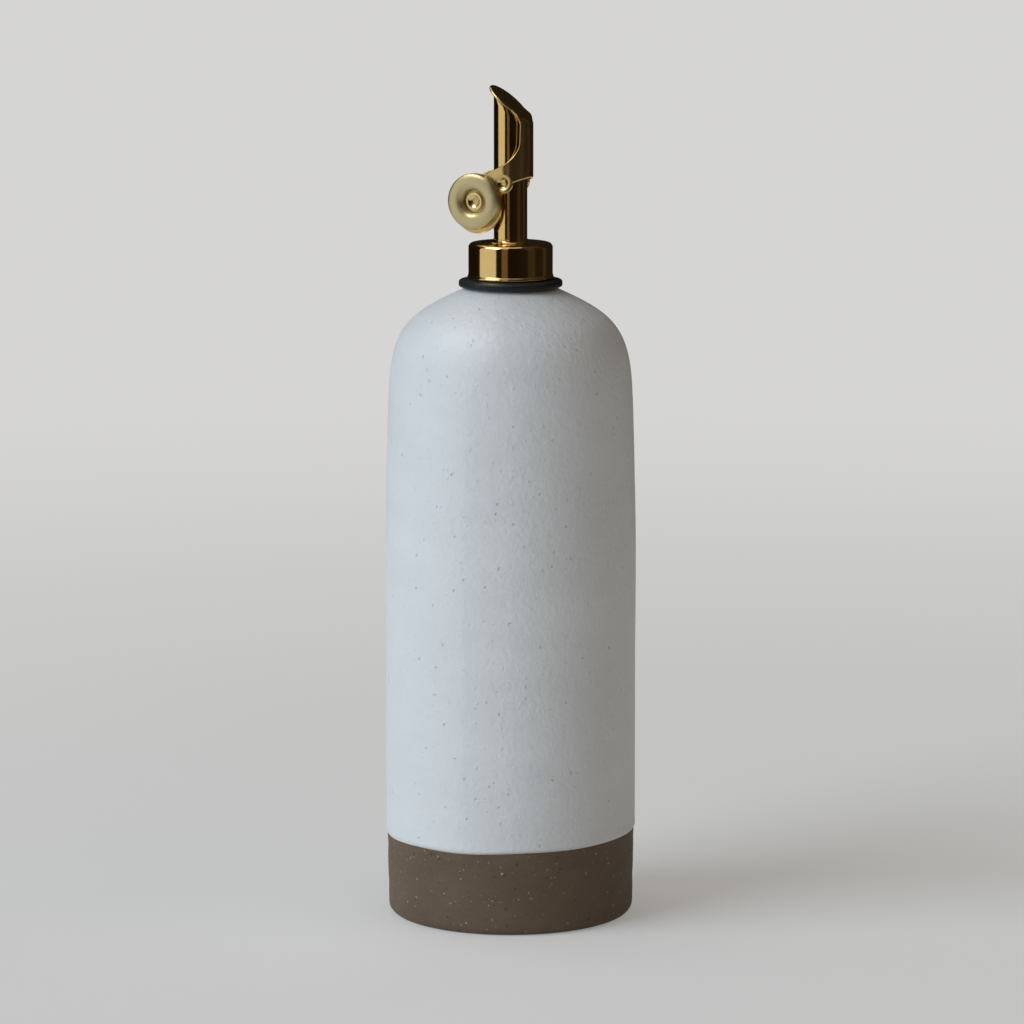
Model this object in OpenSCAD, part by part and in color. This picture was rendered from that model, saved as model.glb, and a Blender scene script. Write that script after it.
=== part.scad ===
// Dispenser bottle of thrown stoneware, closed by a rubber stopper that carries
// a spout with a weighted flap. The flap swings open when the bottle is tipped.
// Origin in the middle of the foot, +Z up, pouring towards -X. Millimetres.

/* [Bottle] */
// Outer radius of the glazed side
body_r = 39; // [37:0.5:41]
// Height of the mouth rim above the table
rim_z = 196.5; // [190:0.5:205]
// Thickness of the clay wall
wall_t = 5.5; // [4.5:0.5:6.5]
// Thickness of the clay floor
floor_t = 7; // [6:0.5:9]
// Radius of the glazed neck bore
neck_r = 9.5; // [9.2:0.1:10]
// Thickness of the glaze, outside and inside
glaze_t = 0.35; // [0.25:0.05:0.5]
// Height of the bare clay band at the foot
glaze_line_z = 26; // [20:1:32]
// Radius of the bare band at the glaze line
band_r = 38.5; // [38:0.1:38.6]
// Radius of the bare band just above the foot's rounded edge
foot_r = 38.1; // [37:0.1:38.4]
// Radius of the foot's rounded edge
foot_edge_r = 3; // [1:0.5:4]

/* [Stopper] */
// Radius of the flange that lies on the mouth rim
flange_r = 16; // [15:0.5:18]
// Length of the plug below the rim
plug_len = 22; // [20:1:26]
// Radius of the plug between its fins
plug_r = 7.9; // [7.5:0.1:8.3]
// Radial play between the fins and the neck bore
fin_play = 0.06; // [0.02:0.01:0.1]
// Number of sealing fins
fin_count = 4; // [3:1:4]

/* [Cap and spout] */
// Outer radius of the cap
cap_r = 13.3; // [13:0.1:14]
// Height of the cap
cap_h = 11; // [9:0.2:11.4]
// Thickness of the cap's sheet
cap_t = 0.8; // [0.6:0.1:1]
// Outer radius of the spout tube
tube_r = 5.15; // [5:0.05:5.3]
// Thickness of the spout tube's wall
tube_t = 0.6; // [0.5:0.05:0.7]
// Height of the mouth's middle above the rim
mouth_h = 55.8; // [54:0.2:60]
// Slope of the mouth, from level
mouth_slope = 38; // [34:1:42]
// Outer radius of the air tube
air_r = 1.45; // [1.2:0.05:1.45]

/* [Flap] */
// Thickness of the flap's sheet
sheet_t = 0.8; // [0.6:0.05:0.9]
// Outer radius of the channel round the back of the spout
channel_r = 7; // [6.8:0.1:7.4]
// Place of the pivot in front of (-) or behind (+) the spout's axis
pivot_x = 0.8; // [0.4:0.1:1.2]
// Height of the pivot above the rim
pivot_h = 32.2; // [31.8:0.1:33]
// How far the plate stands over the tip of the mouth
plate_over = 1.25; // [0.8:0.05:1.6]

/* [Weights] */
// Place of the weights in front of the spout's axis
weight_x = -8.4; // [-9:0.1:-8.4]
// Height of the weights' middle above the rim
weight_h = 26.5; // [26.2:0.1:26.8]
// Radius of the round ends of the flap that carry the weights
pad_r = 8.5; // [8.4:0.1:8.8]
// How far the round ends' middle lies below the weights' middle
pad_drop = 1.5; // [1:0.1:1.6]
// Radius of a weight
weight_r = 8.6; // [8:0.1:8.7]
// Height of a weight's domed ring above its flat back
crown_h = 3; // [2.4:0.1:3.2]

/* [Hidden] */
$fn = 96;

// Bottle: heights where the side starts to lean and where the shoulder starts
lean_z = rim_z - 87.5;
shoulder_z = rim_z - 28;
shoulder_r = body_r - 1.5;
rim_land_r = 13;
clay_neck_r = neck_r + glaze_t;
cavity_r = body_r - glaze_t - wall_t;
cavity_corner_r = 9;
cavity_dome_r = cavity_r - clay_neck_r;
neck_land_h = 11;
foot_recess_r = 29;
foot_recess_h = 1;
curve_steps = 14;

// The outer curve's handles: how far each reaches along the curve's direction at
// the ends of the lean and of the shoulder, and those ends' outward directions
lean_reach = 15.6;
lean_end_reach = [0.8, -9.4];
shoulder_reach = [-1.4, 16.8];
mouth_reach = [16.8, -7.7];
lean_n = [0.996, 0.086];
slope_n = [0.42, 0.91];

// How far a cutting solid runs past what it cuts
past = 1;

// Stopper and its core
fin_r = neck_r - fin_play;
fin_pitch = 4.6;
fin_first_z = rim_z - 3;
fin_root_half = 1.1;
fin_tip_half = 0.35;
plug_z = rim_z - plug_len;
plug_nose = 1.2;
core_r = 6.2;
seat_z = rim_z + 1.5;
flange_edge = 0.4;
flange_rim_h = 2;
head_r = cap_r - cap_t;

// Cap and spout
cap_z = rim_z + 2.5;
cap_top_z = cap_z + cap_h;
cap_edge_r = 1.3;
cap_bead_r = 0.55;
cap_bead_out = 0.3;
cap_bead_h = 1.4;
cap_bead_turn = 60;
collar_r = 1.3;
collar_land = 0.15;
tube_bore_r = tube_r - tube_t;
mouth_z = rim_z + mouth_h;
air_x = tube_bore_r - air_r - 0.05;
air_bore_r = 1.05;
air_low_z = rim_z - 37.5;
air_top_z = rim_z + 47.5;
flow_x = -1.6;
flow_r = 2.6;

// Pivot studs: a shank through the spout's wall, a head in the flap's dimple
pivot_z = rim_z + pivot_h;
stud_r = 0.8;
stud_play = 0.05;
stud_head_r = 1.15;
stud_head_h = 0.4;
stud_clinch_r = 1.2;
stud_clinch_y = 3.4;
stud_clinch_h = 0.65;
dimple_floor_y = 5.25;
dimple_floor_t = 0.7;
dimple_floor_r = 1.45;
dimple_mouth_r = 2.5;
dimple_wall = 0.4;
stud_head_y = dimple_floor_y + dimple_floor_t + 0.1;

// Flap
cheek_y = channel_r;
cheek_in_y = channel_r - sheet_t;
plate_gap = 0.05;
strip_x = channel_r - 1.55;
plate_neck_half = 3.9;
lobe_r = 3.1;
flap_reach = 30;
cut_size = 60;

// Side view of the arm, from the strip's edge down to the weights' round end and
// back under the pivot to the channel's lower edge
arm_top_z = rim_z + 45.1;
arm_reach = 3.8;
arm_foot = [-0.6, rim_z + 37.2];
arm_foot_reach = [2.9, 1.3];
arm_valley = [-3.9, rim_z + 35.7];
arm_on_pad = [weight_x + 1, rim_z + 33];
lobe_under = [-2, -4];
channel_foot = [4.07, rim_z + 32.5];
channel_low_z = rim_z + 33.8;
foot_rise = 0.4;

// Weights
weight_z = rim_z + weight_h;
pad_x = weight_x + 0.3;
pad_z = weight_z - pad_drop;
weight_edge_h = 1.8;
weight_hub_h = 0.4;
weight_hub_r = 3.4;
dome_fullness = 0.74;
rivet_r = 1.5;
rivet_bore_r = 0.9;
rivet_head_r = 2.85;
rivet_head_h = 0.9;
rivet_crater_r = 2;
rivet_crater_h = 0.4;
spacer_r = 2.2;

function bezier(p, n) = [for (i = [0:n]) let (t = i / n, s = 1 - t)
    s * s * s * p[0] + 3 * s * s * t * p[1] + 3 * s * t * t * p[2] + t * t * t * p[3]];
function arc(x, z, r, from, to, n) = [for (i = [0:n])
    let (a = from + (to - from) * i / n) [x + r * cos(a), z + r * sin(a)]];
function reverse(list) = [for (i = [len(list) - 1:-1:0]) list[i]];
function tail(list) = [for (i = [1:len(list) - 1]) list[i]];

// The bottle's outer curve from the glaze line to the rim, set in by d: a straight
// side, a slight lean and a shoulder that ends in a slope towards the mouth
function lean_curve(d) = bezier([
    [body_r - d, lean_z],
    [body_r - d, lean_z + lean_reach],
    [shoulder_r, shoulder_z] + lean_end_reach - d * lean_n,
    [shoulder_r, shoulder_z] - d * lean_n], curve_steps);
function shoulder_curve(d) = bezier([
    [shoulder_r, shoulder_z] - d * lean_n,
    [shoulder_r, shoulder_z] + shoulder_reach - d * lean_n,
    [rim_land_r, rim_z] + mouth_reach - d * slope_n,
    [rim_land_r, rim_z - d]], curve_steps);
function outer_curve(d) = concat([[body_r - d, glaze_line_z]],
    lean_curve(d), tail(shoulder_curve(d)));

// The cavity's curve from the rim down to the middle of the floor, set in by d
function cavity_curve(d) = concat(
    [[clay_neck_r - d, rim_z - glaze_t + d]],
    arc(clay_neck_r - d, rim_z - neck_land_h - cavity_dome_r, cavity_dome_r, 90, 0,
        curve_steps),
    arc(cavity_r - d - cavity_corner_r, floor_t + d + cavity_corner_r,
        cavity_corner_r, 0, -90, curve_steps / 2),
    [[0, floor_t + d]]);

// A solid of revolution about an axis along Y through the point (x, z)
module turned_along_y(x, z) {
    translate([x, 0, z]) rotate([-90, 0, 0]) rotate_extrude() children();
}

// Space above the mouth's slope, raised by d
module above_mouth(d) {
    translate([0, 0, mouth_z]) rotate([0, mouth_slope, 0])
        translate([-cut_size / 2, -cut_size / 2, d]) cube(cut_size);
}

module clay_body() {
    color([0.23, 0.19, 0.16]) rotate_extrude() polygon(concat(
        [[0, foot_recess_h], [foot_recess_r, foot_recess_h],
         [foot_recess_r + foot_recess_h, 0]],
        arc(foot_r - foot_edge_r, foot_edge_r, foot_edge_r, -90, 0, curve_steps / 2),
        [[band_r, glaze_line_z]],
        outer_curve(glaze_t),
        cavity_curve(0)));
}

module outer_glaze() {
    color([0.82, 0.84, 0.85]) rotate_extrude() polygon(concat(
        outer_curve(0), [[clay_neck_r, rim_z], [clay_neck_r, rim_z - glaze_t]],
        reverse(outer_curve(glaze_t))));
}

module liner_glaze() {
    color([0.78, 0.8, 0.8]) rotate_extrude() polygon(concat(
        reverse(cavity_curve(0)), cavity_curve(glaze_t)));
}

module stopper() {
    color([0.05, 0.05, 0.055]) rotate_extrude() polygon(concat(
        [[core_r, plug_z], [plug_r - plug_nose, plug_z], [plug_r, plug_z + plug_nose]],
        [for (i = [fin_count - 1:-1:0]) let (z = fin_first_z - i * fin_pitch)
            each [[plug_r, z - fin_root_half], [fin_r, z - fin_tip_half],
                  [fin_r, z + fin_tip_half], [plug_r, z + fin_root_half]]],
        [[plug_r, rim_z], [flange_r - flange_edge, rim_z], [flange_r, rim_z + flange_edge],
         [flange_r, rim_z + flange_rim_h - flange_edge],
         [flange_r - flange_edge, rim_z + flange_rim_h],
         [cap_r, cap_z], [head_r, cap_z], [head_r, cap_top_z - cap_t],
         [tube_r, cap_top_z - cap_t], [tube_r, seat_z], [core_r, seat_z]]));
}

module stopper_core() {
    color([0.85, 0.85, 0.83]) difference() {
        translate([0, 0, plug_z]) cylinder(r = core_r, h = seat_z - plug_z);
        for (hole = [[flow_x, flow_r], [air_x, air_r]])
            translate([hole[0], 0, plug_z - past])
                cylinder(r = hole[1], h = seat_z - plug_z + 2 * past);
    }
}

module cap() {
    color([0.78, 0.58, 0.24]) rotate_extrude() polygon(concat(
        [[head_r, cap_z]],
        arc(cap_r - cap_bead_r, cap_z + cap_bead_r, cap_bead_r, -90, cap_bead_turn, 7),
        [[cap_r - cap_bead_out, cap_z + cap_bead_h]],
        arc(cap_r - cap_bead_out - cap_edge_r, cap_top_z - cap_edge_r, cap_edge_r, 0, 90, 7),
        arc(tube_r + collar_land + collar_r, cap_top_z + collar_r, collar_r,
            -90, -180, 6),
        [[tube_r, cap_top_z + collar_r], [tube_r, cap_top_z - cap_t],
         [head_r, cap_top_z - cap_t]]));
}

module spout_tube() {
    color([0.82, 0.62, 0.27]) difference() {
        translate([0, 0, seat_z]) cylinder(r = tube_r, h = mouth_h + 2 * tube_r);
        translate([0, 0, seat_z - past])
            cylinder(r = tube_bore_r, h = mouth_h + 2 * tube_r + 2 * past);
        above_mouth(0);
        translate([pivot_x, 0, pivot_z]) rotate([90, 0, 0])
            cylinder(r = stud_r, h = 2 * cheek_y, center = true);
    }
}

module air_tube() {
    color([0.7, 0.7, 0.7]) translate([air_x, 0, air_low_z]) difference() {
        cylinder(r = air_r, h = air_top_z - air_low_z);
        translate([0, 0, -past])
            cylinder(r = air_bore_r, h = air_top_z - air_low_z + 2 * past);
    }
}

module pivot_stud(side) {
    color([0.85, 0.66, 0.32]) mirror([0, side < 0 ? 1 : 0, 0])
        turned_along_y(pivot_x, pivot_z) polygon(concat(
            [[0, stud_clinch_y], [stud_clinch_r, stud_clinch_y],
             [stud_clinch_r, stud_clinch_y + stud_clinch_h],
             [stud_r, stud_clinch_y + stud_clinch_h], [stud_r, stud_head_y],
             [stud_head_r, stud_head_y]],
            arc(stud_head_r - stud_head_h, stud_head_y, stud_head_h, 0, 90, 6),
            [[0, stud_head_y + stud_head_h]]));
}

module pivot_stud_near() { pivot_stud(-1); }
module pivot_stud_far() { pivot_stud(1); }

// Side view of the flap's cheeks and strip: strip edge, S-curve down to the round
// end, round the pivot and back under the channel
module flap_side() {
    polygon(concat(
        [[channel_r + past, mouth_z], [strip_x, mouth_z]],
        bezier([[strip_x, arm_top_z], [strip_x, arm_top_z - arm_reach],
                arm_foot + arm_foot_reach, arm_foot], curve_steps),
        [arm_valley, arm_on_pad, [pad_x, pad_z],
         [pivot_x, pivot_z] + lobe_under, [pivot_x, pivot_z], channel_foot,
         [channel_r + past, channel_low_z + foot_rise]]));
    translate([pivot_x, pivot_z]) circle(r = lobe_r);
    translate([pad_x, pad_z]) circle(r = pad_r);
}

// Plan of the sheet: a channel round the spout's back, open towards -X
module channel_plan(r) {
    circle(r = r);
    translate([-flap_reach, -r]) square([flap_reach, 2 * r]);
}

// Plan of the plate: an oval that stands over the tip, and the strip's end
module plate_plan() {
    half_x = tube_r + plate_over / 2;
    polygon([for (a = [0:5:355]) [-plate_over / 2 + half_x * cos(a), tube_r * sin(a)]]);
    intersection() {
        circle(r = channel_r - sheet_t / 2);
        translate([tube_r / 2, -plate_neck_half]) square([flap_reach, 2 * plate_neck_half]);
    }
}

module dimple(side) {
    mirror([0, side < 0 ? 1 : 0, 0]) turned_along_y(pivot_x, pivot_z) polygon([
        [stud_r + stud_play, dimple_floor_y], [dimple_floor_r + dimple_wall, dimple_floor_y],
        [dimple_mouth_r + dimple_wall, cheek_in_y], [dimple_mouth_r + dimple_wall, cheek_y],
        [dimple_mouth_r, cheek_y], [dimple_floor_r, dimple_floor_y + dimple_floor_t],
        [stud_r + stud_play, dimple_floor_y + dimple_floor_t]]);
}

module flap_lever() {
    color([0.83, 0.64, 0.3]) {
        difference() {
            intersection() {
                translate([0, 0, rim_z]) linear_extrude(mouth_h + 2 * channel_r)
                    difference() {
                        channel_plan(channel_r);
                        channel_plan(cheek_in_y);
                    }
                rotate([90, 0, 0]) linear_extrude(3 * channel_r, center = true) flap_side();
            }
            above_mouth(plate_gap + sheet_t);
            translate([pivot_x, 0, pivot_z]) rotate([90, 0, 0])
                cylinder(r = dimple_mouth_r + dimple_wall / 2, h = 3 * cheek_y, center = true);
            translate([weight_x, 0, weight_z]) rotate([90, 0, 0])
                cylinder(r = rivet_r, h = 3 * cheek_y, center = true);
        }
        difference() {
            translate([0, 0, mouth_z - flap_reach / 2])
                linear_extrude(flap_reach) plate_plan();
            above_mouth(plate_gap + sheet_t);
            difference() {
                translate([0, 0, mouth_z - flap_reach]) linear_extrude(2 * flap_reach)
                    square(cut_size, center = true);
                above_mouth(plate_gap);
            }
        }
        dimple(-1);
        dimple(1);
    }
}

module weight(side) {
    ring_mid = (weight_r + weight_hub_r) / 2;
    ring_half = (weight_r - weight_hub_r) / 2;
    color([0.8, 0.66, 0.38]) mirror([0, side < 0 ? 1 : 0, 0])
        turned_along_y(weight_x, weight_z) polygon(concat(
            [[rivet_r, cheek_y], [weight_r, cheek_y]],
            [for (a = [0:12:180]) let (h = a < 90 ? weight_edge_h : weight_hub_h)
                [ring_mid + ring_half * sign(cos(a)) * pow(abs(cos(a)), dome_fullness),
                 cheek_y + h + (crown_h - h) * pow(sin(a), dome_fullness)]],
            [[rivet_r, cheek_y + weight_hub_h]]));
}

module weight_near() { weight(-1); }
module weight_far() { weight(1); }

module weight_spacer() {
    color([0.75, 0.57, 0.25]) turned_along_y(weight_x, weight_z)
        translate([rivet_r, -cheek_in_y]) square([spacer_r - rivet_r, 2 * cheek_in_y]);
}

module weight_rivet() {
    head_y = cheek_y + weight_hub_h;
    end_y = head_y + rivet_head_h;
    half = [[rivet_r, head_y], [rivet_head_r, head_y],
            [rivet_head_r, end_y - rivet_crater_h / 2],
            [rivet_head_r - rivet_crater_h / 2, end_y], [rivet_crater_r, end_y],
            [rivet_bore_r, end_y - rivet_crater_h]];
    color([0.85, 0.66, 0.33]) turned_along_y(weight_x, weight_z)
        polygon(concat(half, reverse([for (p = half) [p[0], -p[1]]])));
}

clay_body();
outer_glaze();
liner_glaze();
stopper();
stopper_core();
cap();
spout_tube();
air_tube();
pivot_stud_near();
pivot_stud_far();
flap_lever();
weight_near();
weight_far();
weight_spacer();
weight_rivet();
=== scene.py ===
"""Looks of a thrown stoneware dispenser bottle with a weighted flap pourer.

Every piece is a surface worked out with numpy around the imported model, in metres:
+Z up, the bottle pours towards -X, and the flap's hinge runs along Y.
"""

import bmesh
import bpy
import numpy as np
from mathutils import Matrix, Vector


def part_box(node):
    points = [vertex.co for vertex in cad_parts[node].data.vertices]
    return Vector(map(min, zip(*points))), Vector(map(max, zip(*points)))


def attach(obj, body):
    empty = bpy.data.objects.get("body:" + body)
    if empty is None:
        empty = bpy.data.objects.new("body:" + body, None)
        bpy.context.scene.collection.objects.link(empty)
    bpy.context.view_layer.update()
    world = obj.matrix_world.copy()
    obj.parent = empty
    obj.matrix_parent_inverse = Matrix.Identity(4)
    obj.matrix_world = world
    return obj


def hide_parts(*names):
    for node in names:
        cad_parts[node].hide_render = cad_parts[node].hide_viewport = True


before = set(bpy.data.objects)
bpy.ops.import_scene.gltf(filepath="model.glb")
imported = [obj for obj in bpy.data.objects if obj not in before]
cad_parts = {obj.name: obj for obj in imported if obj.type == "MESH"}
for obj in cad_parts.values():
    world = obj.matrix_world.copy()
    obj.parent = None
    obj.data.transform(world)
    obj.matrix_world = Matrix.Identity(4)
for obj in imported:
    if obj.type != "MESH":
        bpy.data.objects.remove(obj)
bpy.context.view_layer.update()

MM = 0.001


def top(node):
    """Highest Z of a CAD node."""
    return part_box(node)[1].z


def bottom(node):
    """Lowest Z of a CAD node."""
    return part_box(node)[0].z


def radius(node):
    """Largest X of a CAD node that is round about Z."""
    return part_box(node)[1].x


def half_height(node):
    """Half the height of a CAD node: the radius of one that is round about Y."""
    return (top(node) - bottom(node)) / 2


def middle(node, axis):
    """Middle of a CAD node along X, Y or Z, which is axis 0, 1 or 2."""
    low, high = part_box(node)
    return (low[axis] + high[axis]) / 2


# Driving sizes, read from the frame
BODY_R = radius("outer_glaze")
RIM_Z = top("outer_glaze")
GLAZE_LINE_Z = bottom("outer_glaze")
CORE_R = radius("stopper_core")
NECK_R = CORE_R + 3.3 * MM
FLANGE_R = radius("stopper")
CAP_R = radius("cap")
CAP_LOW_Z = bottom("cap")
COLLAR_TOP_Z = top("cap")
TUBE_R = radius("spout_tube")
TUBE_LOW_Z = bottom("spout_tube")
CHANNEL_R = radius("flap_lever")
WEIGHT_X, WEIGHT_Z = middle("weight_near", 0), middle("weight_near", 2)
WEIGHT_R = half_height("weight_near")
CROWN_H = -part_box("weight_near")[0].y - CHANNEL_R
PAD_X = WEIGHT_X + 0.3 * MM
PAD_R = PAD_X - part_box("flap_lever")[0].x
PAD_Z = bottom("flap_lever") + PAD_R
PIVOT_X, PIVOT_Z = middle("pivot_stud_near", 0), middle("pivot_stud_near", 2)
RIVET_HEAD_R = half_height("weight_rivet")
RIVET_END_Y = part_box("weight_rivet")[1].y

# Where the viewer stands: degrees round from -Y, and up
VIEW_DEGREES = 27.0
VIEW_AZIMUTH = np.radians(VIEW_DEGREES)
VIEW_ELEVATION = np.radians(9.07)


# ---------------------------------------------------------------- mesh helpers
def grid_piece(name, points, wrap_rows=False, wrap_columns=False, sharp=40):
    """A piece from a grid of points (rows, columns, 3). Each row and column may close
    on itself. Doubles, such as a row that shrinks to a pole, are merged."""
    rows, columns = points.shape[:2]
    index = np.arange(rows * columns).reshape(rows, columns)
    if wrap_rows:
        index = np.vstack([index, index[:1]])
    if wrap_columns:
        index = np.hstack([index, index[:, :1]])
    return mesh_piece(name, points.reshape(-1, 3), quads_between(index), sharp)


def quads_between(index):
    """Quads that join each point number of a grid to its neighbours in the next row and
    column."""
    corners = index[:-1, :-1], index[:-1, 1:], index[1:, 1:], index[1:, :-1]
    return np.stack(corners, -1).reshape(-1, 4)


def mesh_piece(name, points, quads, sharp=40):
    """A smooth piece with the given points and quads, creased where faces meet at more
    than the sharp angle in degrees."""
    mesh = bpy.data.meshes.new(name)
    mesh.from_pydata(points.tolist(), [], quads.tolist())
    work = bmesh.new()
    work.from_mesh(mesh)
    bmesh.ops.remove_doubles(work, verts=work.verts, dist=1e-7)
    bmesh.ops.dissolve_degenerate(work, edges=work.edges, dist=1e-8)
    bmesh.ops.recalc_face_normals(work, faces=work.faces)
    work.to_mesh(mesh)
    work.free()
    mesh.shade_smooth()
    mesh.set_sharp_from_angle(angle=np.radians(sharp))
    piece = bpy.data.objects.new(name, mesh)
    bpy.context.scene.collection.objects.link(piece)
    return piece


def turned(name, profile, steps, closed=False, about_y=None, mirror_y=False, sharp=40):
    """A solid of revolution: profile is a list of (radius, height) that runs with the
    solid on its left. It turns about Z, or about the line along Y through about_y."""
    profile = np.asarray(profile, float)
    points = about_z(profile[:, 0, None], full_turn(steps), profile[:, 1, None])
    if about_y is not None:
        across, along, height = np.moveaxis(points, -1, 0)
        side = -1 if mirror_y else 1
        points = np.stack([about_y[0] + across, side * height, about_y[1] - side * along], -1)
    return grid_piece(name, points, wrap_rows=closed, wrap_columns=True, sharp=sharp)


def full_turn(steps):
    """Angles round a full turn, without the last one, which is the first."""
    return np.linspace(0, 2 * np.pi, steps, endpoint=False)


def about_z(r, turn, z):
    """A grid of points at a radius, a turn about Z and a height."""
    return np.stack([r * np.cos(turn), r * np.sin(turn), z + 0 * turn], -1)


def arc(x, z, r, start, end, steps):
    """Points on a circle about (x, z), from one angle to another in degrees."""
    turn = np.radians(np.linspace(start, end, steps + 1))
    return np.stack([x + r * np.cos(turn), z + r * np.sin(turn)], -1)


def bezier(p0, p1, p2, p3, steps):
    """Points on a cubic Bezier curve."""
    t = np.linspace(0, 1, steps + 1)[:, None]
    s = 1 - t
    p0, p1, p2, p3 = (np.asarray(p, float) for p in (p0, p1, p2, p3))
    return s**3 * p0 + 3 * s * s * t * p1 + 3 * s * t * t * p2 + t**3 * p3


def handled(start, leave, arrive, end, steps):
    """A Bezier curve whose handles are given as steps from its two ends."""
    return bezier(start, np.add(start, leave), np.add(end, arrive), end, steps)


def joined(*stretches):
    """Lines that each start where the one before ends, as one line."""
    return np.vstack([stretches[0], *(line[1:] for line in stretches[1:])])


def resample(points, count):
    """The same line with count points, evenly spaced along it."""
    points = np.asarray(points, float)
    step = np.linalg.norm(np.diff(points, axis=0), axis=1)
    run = np.concatenate([[0], np.cumsum(step)])
    at = np.linspace(0, run[-1], count)
    return np.stack([np.interp(at, run, points[:, k]) for k in range(points.shape[1])], -1)


def rounded(points, r, steps=4):
    """A line through the points with each inner corner rounded to about r: a parabola
    that starts and ends that far from the corner."""
    points = np.asarray(points, float)
    line = [points[:1]]
    for before, corner, after in zip(points[:-2], points[1:-1], points[2:]):
        back, on = before - corner, after - corner
        reach = min(r, 0.49 * np.linalg.norm(back), 0.49 * np.linalg.norm(on))
        start = corner + back / np.linalg.norm(back) * reach
        end = corner + on / np.linalg.norm(on) * reach
        line.append(bezier(start, (start + 2 * corner) / 3, (end + 2 * corner) / 3, end, steps))
    line.append(points[-1:])
    return np.vstack(line)


def waves(turn, height, rng, count, turns, pitch):
    """Smooth irregular field over angle and height: a sum of sine waves that close
    round the piece, between -1 and 1 or so."""
    field = np.zeros(np.broadcast(turn, height).shape)
    for _ in range(count):
        around = rng.integers(turns[0], turns[1] + 1)
        up = 2 * np.pi / rng.uniform(*pitch) * rng.choice([-1, 1])
        field += np.sin(around * turn + up * height + rng.uniform(0, 2 * np.pi))
    return field / np.sqrt(count)


# ------------------------------------------------------------------ the bottle
FOOT_R = 38.1 * MM
BAND_R = 38.55 * MM
FOOT_EDGE_R = 3 * MM
FOOT_RECESS_R = 29 * MM
FOOT_RECESS_H = 1 * MM
RECESS_FLARE, RECESS_ROUND = 1 * MM, 0.5 * MM
GLAZE_T = 0.35 * MM
WALL_T = 5.5 * MM
FLOOR_Z = 7 * MM
FLOOR_ROUND = 9 * MM
LINE_TILT, LINE_WAVER = 0.9 * MM, 0.12 * MM
LEAN_Z = RIM_Z - 87.5 * MM
SHOULDER_Z = RIM_Z - 28 * MM
SHOULDER_R = BODY_R - 1.5 * MM
RIM_LAND_R = 13 * MM
RIM_ROUND = 0.9 * MM
RIM_SUNK = 0.2 * MM
LINER_TOP_Z = RIM_Z - 1.2 * MM
LINER_SUNK = 0.02 * MM
CAVITY_TOP_Z = RIM_Z - 11 * MM
# How far above the glaze line the bare band ends and the wall under the glaze starts
BAND_UNDER, WALL_ABOVE = 3 * MM, 6 * MM
# Steps round the bottle, and rows of points up it
POT_STEPS = 300
GLAZE_ROWS, BACK_ROWS, BAND_ROWS, WALL_ROWS = 236, 60, 70, 60
# Throwing rings in the glaze: the pitch and depth of each set, in millimetres
GLAZE_RINGS = ((5.3, 0.01), (8.9, 0.012), (13.7, 0.015), (3.1, 0.006))
SWELL = 0.03 * MM
# Rings and swell start at a radius near the mouth and grow over the next stretch
RINGS_FROM_R, RINGS_GROW = 15 * MM, 10 * MM
# The glaze's lower edge: a roll above it, and the drop down to the clay
ROLL_OUT, ROLL_H, ROLL_SPREAD = 0.08 * MM, 1.2 * MM, 1.1 * MM
EDGE_DROP, EDGE_DROP_H, EDGE_REACH = 0.45 * MM, 0.28 * MM, 3 * MM
# How far the glaze's back is sunk into the clay, how much less at the mouth, and how
# much lower it lies there
BACK_SUNK, BACK_EASED, BACK_LOWER = 0.6 * MM, 0.2 * MM, 0.5 * MM
# Turning marks in the bare clay, which fade near its edges and stay off the foot
MARK_DEPTH, MARK_PITCH, MARK_CLIMB = 0.012 * MM, 1.7 * MM, 0.9 * MM
MARK_FADE, MARKS_FROM_R = 2 * MM, FOOT_R - 2 * MM
CLAY_WAVER = 0.05 * MM


def side_curve(low_z):
    """The glazed outline from low_z up to the mouth rim: straight, a slight lean, then
    the shoulder that slopes up to the rim and rounds over into the neck."""
    straight = np.array([(BODY_R, low_z), (BODY_R, LEAN_Z)])
    lean_from, lean_to = (0, 15.6 * MM), (0.8 * MM, -9.4 * MM)
    slope_from, slope_to = (-1.4 * MM, 16.8 * MM), (16.8 * MM, -7.7 * MM)
    lean = handled((BODY_R, LEAN_Z), lean_from, lean_to, (SHOULDER_R, SHOULDER_Z), 40)
    shoulder = handled((SHOULDER_R, SHOULDER_Z), slope_from, slope_to, (RIM_LAND_R, RIM_Z), 60)
    mouth = rounded([(RIM_LAND_R, RIM_Z), (NECK_R, RIM_Z), (NECK_R, RIM_Z - 2 * MM)], RIM_ROUND, 6)
    return joined(straight, lean, shoulder, mouth)


def follow_glaze_line(z, low):
    """Heights moved with the tilted glaze line: fully at the line, not at all from the
    lean upwards."""
    share = np.clip((z - GLAZE_LINE_Z) / (LEAN_Z - GLAZE_LINE_Z), 0, 1)
    return z + (1 - share) * (low - GLAZE_LINE_Z)


def throwing_rings(turn, z, rng):
    """Ripples that climb a little round the pot, one sine wave for each pitch."""
    rings = np.zeros(z.shape)
    for pitch, depth in GLAZE_RINGS:
        climb = turn / (2 * np.pi) * pitch * MM
        rings += depth * MM * np.sin(2 * np.pi * (z + climb) / (pitch * MM) + rng.uniform(0, 6))
    return rings


def coat_back(line, turn, low):
    """The back wall of the glaze, sunk a little into the clay, from the mouth's land down
    to the glaze line. It is sunk less towards the mouth, where it also lies lower."""
    line = resample(line[::-1], BACK_ROWS)
    line = line[line[:, 0] >= RIM_LAND_R]
    lie = np.clip((line[:, 1, None] - LEAN_Z) / (RIM_Z - LEAN_Z), 0, 1)
    r = line[:, 0, None] - (BACK_SUNK - BACK_EASED * lie)
    z = line[:, 1, None] - BACK_LOWER * lie**6
    return about_z(r, turn, follow_glaze_line(z, low))


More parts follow.
